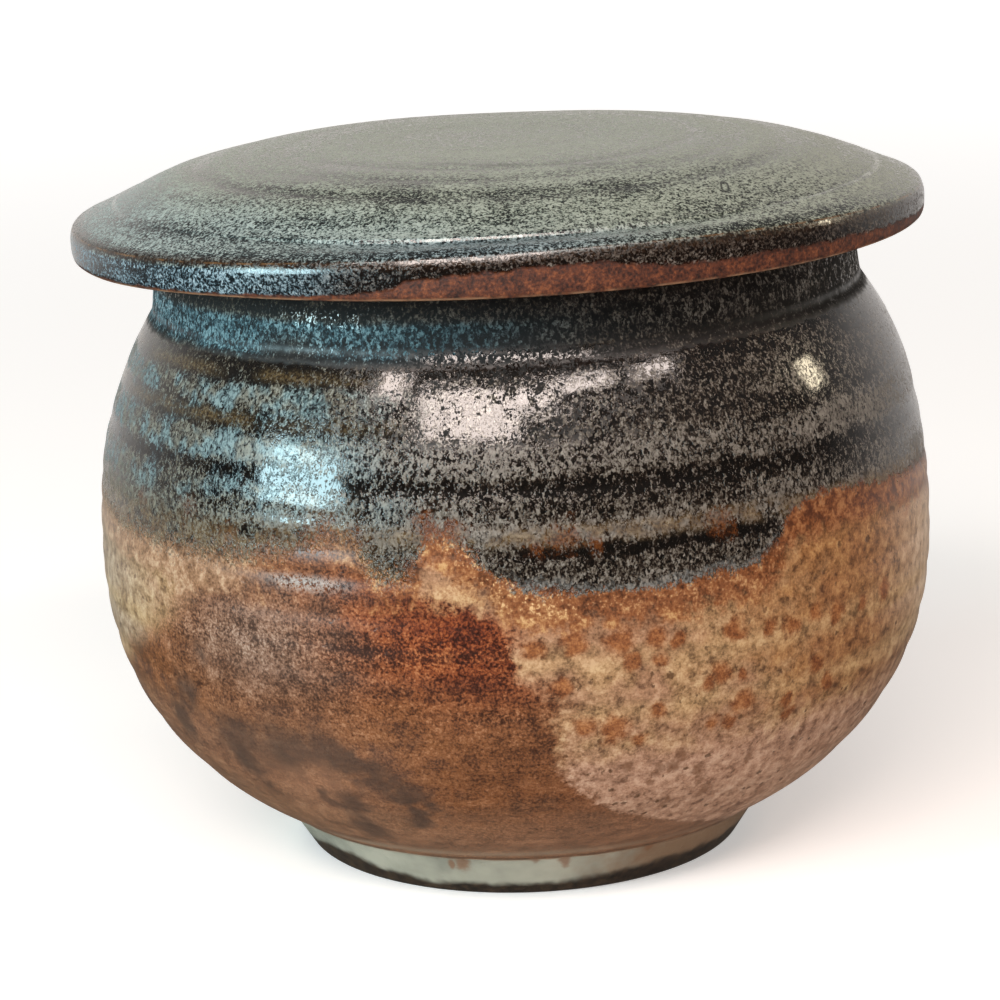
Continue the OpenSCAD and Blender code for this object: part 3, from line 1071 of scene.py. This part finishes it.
# A burst bubble, a sweep in the poured glaze, and dark stains near the back.
narrow = flat.node("ShaderNodeVectorMath", {"operation": "MULTIPLY"}, {0: flat, 1: (1.0, 0.3, 0.0)})
crater = distance(narrow, (26.5, -9.63, 0))
glaze = over(glaze, tint("101310"), hump(crater, 0.42, 0.2))
sweep = distance(flat, (12.0, 37.0, 0))
sweep = hump(sweep + (cloud - 0.5) * 3 + (coarse - 0.5) * 1.4, 61, 1.5) * hump(x + (cloud - 0.5) * 12, 0, 30)
glaze = over(glaze, tint("2a2d27"), sweep * rise(blob, 0.34, 0.6) * 0.6)
far_stains = (
    (-12.0, 30.6, 2.6),
    (-7.6, 31.4, 3.0),
    (-3.0, 32.0, 2.6),
    (20.6, 34.0, 2.0),
    (24.2, 33.8, 2.2),
)
glaze = over(glaze, tint("1c1b18"), rise(marks(flat, far_stains) + (coarse - 0.5) * 1.2, 1.2, 0.4) * 0.8)

# The edge: blue-grey on the left, nearly black at the front, and brown where the glaze broke on the arris.
front = rise(turn + (cloud - 0.5) * 20, -34, -10) * rise(turn, 176, 140)
dotted = shades(
    crystals, (0.3, "0b1013"), (0.42, "28343a"), (0.52, "4b5b62"), (0.66, "72828a"), (0.9, "93a1a6")
)
glaze = over(glaze, dotted, rise(reach + (coarse - 0.5) * 0.5, 47.0, 47.6) * hump(turn, 0, 40) * 0.8)
band = rise(height + (coarse - 0.5) * 0.4, 2.8, 2.45)
night = shades(crystals, (0.34, "0b0604"), (0.52, "1d120a"), (0.68, "382e25"), (0.95, "716a62"))
rim_blue = shades(
    crystals, (0.24, "0a1114"), (0.38, "26343b"), (0.5, "4a5c65"), (0.64, "687b84"), (0.9, "8c9da4")
)
rim_glaze = over(rim_blue, night, front)
glaze = over(glaze, rim_glaze, band)
broken = hump(height + (coarse - 0.5) * 0.3 + (worm - 0.5) * 0.4, 3.2 - front * 0.45, 0.75 + front * 0.1)
glaze = over(glaze, shades(fine, (0.4, "0f0804"), (0.6, "33200f")), broken * 0.95)
core = hump(height + (coarse - 0.5) * 0.2, 3.2, 0.14) * rise(blob + (coarse - 0.5) * 0.5, 0.42, 0.6)
glaze = over(glaze, tint("6d4f31"), core * (1 - hump(turn, 0, 34)) * 0.75)

# How high the clay was wiped bare round the lid's edge: (degrees from the front, height in millimetres).
wipe_line = (
    (-180, 1.3),
    (-150, 1.6),
    (-120, 1.0),
    (-90, 0.6),
    (-60, 0.4),
    (-32, 0.45),
    (-22, 0.55),
    (-16, 0.8),
    (-9, 1.5),
    (0, 1.75),
    (8, 1.85),
    (18, 1.5),
    (28, 1.25),
    (45, 1.3),
    (62, 1.2),
    (85, 1.1),
    (120, 1.0),
    (150, 1.5),
    (180, 1.3),
)
wiped = height - curve(turn, -180, 180, 0, 4, wipe_line) + (coarse - 0.5) * 0.5 + (blob - 0.5) * 0.6
covered = rise(wiped, -0.1, 0.16)
speckled = fine * 0.6 + coarse * 0.4
clay = shades(speckled, (0.36, "270b01"), (0.46, "481c03"), (0.55, "5d2906"), (0.66, "783e15"))
# A pale line along the clay's lowest edge: a painted highlight.
clay = over(clay, tint("96704f"), hump(height, 0.1, 0.26) * rise(blob, 0.34, 0.6) * 0.8)
glaze = over(clay, glaze, covered)
liner = shades(cloud * 0.6 + fine * 0.4, (0.3, "6f7264"), (0.5, "8e8f7d"), (0.7, "a3a491"))
hidden = over(clay, liner, rise(reach, 31.2, 30.6))
under_side = rise(side, -0.2, -0.8)
skin = over(glaze, hidden, under_side)

# Gloss and relief: glassy on the arris and the shoulder's step, matt on the crystals and the bare clay.
ridges = hump(height, 2.85, 0.55) + hump(reach, 47.34, 0.5) + hump(height, 2.4, 0.3) * hump(turn, -26, 9)
ridges = ridges.maths("MINIMUM", ridges * 1.6, 1.0)
glassy = ridges * rise(worm + (coarse - 0.5) * 0.6 + (flake - 0.5) * 0.2, 0.62, 0.52)
crust = rise(crystals, 0.46, 0.6) * (1 - glassy)
gloss = 0.6 - covered * 0.51 + covered * crust * 0.4
rough = fine * 0.014 + coarse * 0.02 + rise(crystals, 0.36, 0.56) * 0.012
relief = rough * (1 - ridges * 0.4) + covered * 0.08 + ripple * 0.03
bump = relief.node("ShaderNodeBump", {}, {"Strength": 1.0, "Distance": 0.001, "Height": relief})
values = {"Base Color": skin, "Roughness": gloss, "IOR": 1.6, "Normal": bump}
finish = skin.node("ShaderNodeBsdfPrincipled", {}, values)
finish.node("ShaderNodeOutputMaterial", {}, {"Surface": finish})
lid.data.materials.append(lid_glaze)
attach(lid, "lid")
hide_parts("lid")

# The table: a wide sheet of pale paper that the jar stands on.
# It glows a little, so that the ground stays light from edge to edge, and the glaze doesn't mirror it.
bpy.ops.object.select_all(action="DESELECT")
bpy.ops.mesh.primitive_circle_add(vertices=96, radius=6.0, fill_type="NGON")
table = bpy.context.object
table.name = "table"
paper = bpy.data.materials.new("paper")
paper.use_nodes = True
shop = paper.node_tree
shop.nodes.clear()
start = Field(shop)
place = start.node("ShaderNodeTexCoord", {}, {}, "Object")
far = rise(place.node("ShaderNodeVectorMath", {"operation": "LENGTH"}, {0: place}, 1), 0.1, 1.2)
paper_glow = over((0.42, 0.415, 0.41, 1), (0.95, 0.95, 0.95, 1), far)
sheet = {"Base Color": (0.80, 0.79, 0.78, 1), "Roughness": 0.9}
sheet.update({"Emission Color": paper_glow, "Emission Strength": 1.0})
finish = start.node("ShaderNodeBsdfPrincipled", {}, sheet)
finish.node("ShaderNodeOutputMaterial", {}, {"Surface": finish})
table.data.materials.append(paper)
table.visible_glossy = False

# The light: a wide warm window over the camera in five panes, a cool one low on the left and a small warm
# lamp on the right, with a pale room behind the jar and a dimmer one in front.
pane_away = 0.9
jar_middle = Vector((0, 0, 0.055))


def pane(name, azimuth, elevation, wide, tall, strength, colour):
    """A lit pane: where its middle is, how wide and tall it looks, all in degrees, and its strength."""
    a = math.radians(azimuth)
    e = math.radians(elevation)
    toward = Vector((math.sin(a) * math.cos(e), -math.cos(a) * math.cos(e), math.sin(e)))
    lamp = bpy.data.lights.new(name, "AREA")
    lamp.shape = "RECTANGLE"
    lamp.size = 2 * pane_away * math.cos(e) * math.tan(math.radians(wide / 2))
    lamp.size_y = 2 * pane_away * math.tan(math.radians(tall / 2))
    lamp.energy = strength * math.pi * lamp.size * lamp.size_y
    lamp.color = colour
    held = bpy.data.objects.new(name, lamp)
    held.location = jar_middle + toward * pane_away
    held.rotation_euler = (-toward).to_track_quat("-Z", "Y").to_euler()
    held.visible_camera = False
    bpy.context.scene.collection.objects.link(held)


warm = (1.0, 0.86, 0.79)
pane("window_main", -14, 36.8, 32, 15.6, 16, warm)
pane("window_middle", 8, 40.5, 11, 11, 16, warm)
pane("window_right", 24, 44, 19, 6.5, 16, warm)
pane("window_far_left", -42, 41.5, 10, 9, 16, warm)
pane("window_far_right", 49, 43.7, 16, 3.2, 16, warm)
pane("window_left", -60, 13, 26, 17, 18, (0.62, 0.92, 1.0))
pane("lamp_right", 98, 21, 7, 7, 15, (1.0, 0.86, 0.62))

room = bpy.data.worlds.new("room")
bpy.context.scene.world = room
room.use_nodes = True
shop = room.node_tree
shop.nodes.clear()
start = Field(shop)
toward = start.node("ShaderNodeTexCoord", {}, {}, "Generated")
back = toward.node("ShaderNodeSeparateXYZ", {}, {0: toward}, "Y")
up = toward.node("ShaderNodeSeparateXYZ", {}, {0: toward}, "Z")
seen = start.node("ShaderNodeLightPath", {}, {}, "Is Camera Ray")
walls = over((0.06, 0.058, 0.056, 1), (0.80, 0.76, 0.73, 1), rise(back, -0.05, 0.85))
walls = over(walls, (0.92, 0.86, 0.81, 1), rise(back, 0.75, 0.95) * rise(up, 0.0, 0.1))
walls = over(walls, (0.16, 0.155, 0.15, 1), rise(up, 0.2, 0.5))
walls = over(walls, (0.09, 0.08, 0.07, 1), rise(up, -0.12, -0.4))
walls = over(walls, (1.0, 1.0, 1.0, 1), seen)
glow = walls.node("ShaderNodeBackground", {}, {"Color": walls, "Strength": 1.0})
glow.node("ShaderNodeOutputWorld", {}, {"Surface": glow})

# The camera: close, a little above the lid's edge, and turned slightly about its own axis.
eye = bpy.data.cameras.new("camera")
eye.sensor_width = 36.0
eye.lens = 116.3
eye.clip_start = 0.01
eye.clip_end = 50.0
camera = bpy.data.objects.new("camera", eye)
camera.location = (0.0, -0.4005, 0.1423)
aim = Vector((-0.0019, 0.0, 0.0429))
look = (aim - camera.location).to_track_quat("-Z", "Y").to_matrix().to_4x4()
look = look @ look.Rotation(math.radians(-1.86), 4, "Z")
camera.rotation_euler = look.to_euler()
bpy.context.scene.collection.objects.link(camera)
bpy.context.scene.camera = camera
bpy.context.scene.view_settings.view_transform = "Standard"
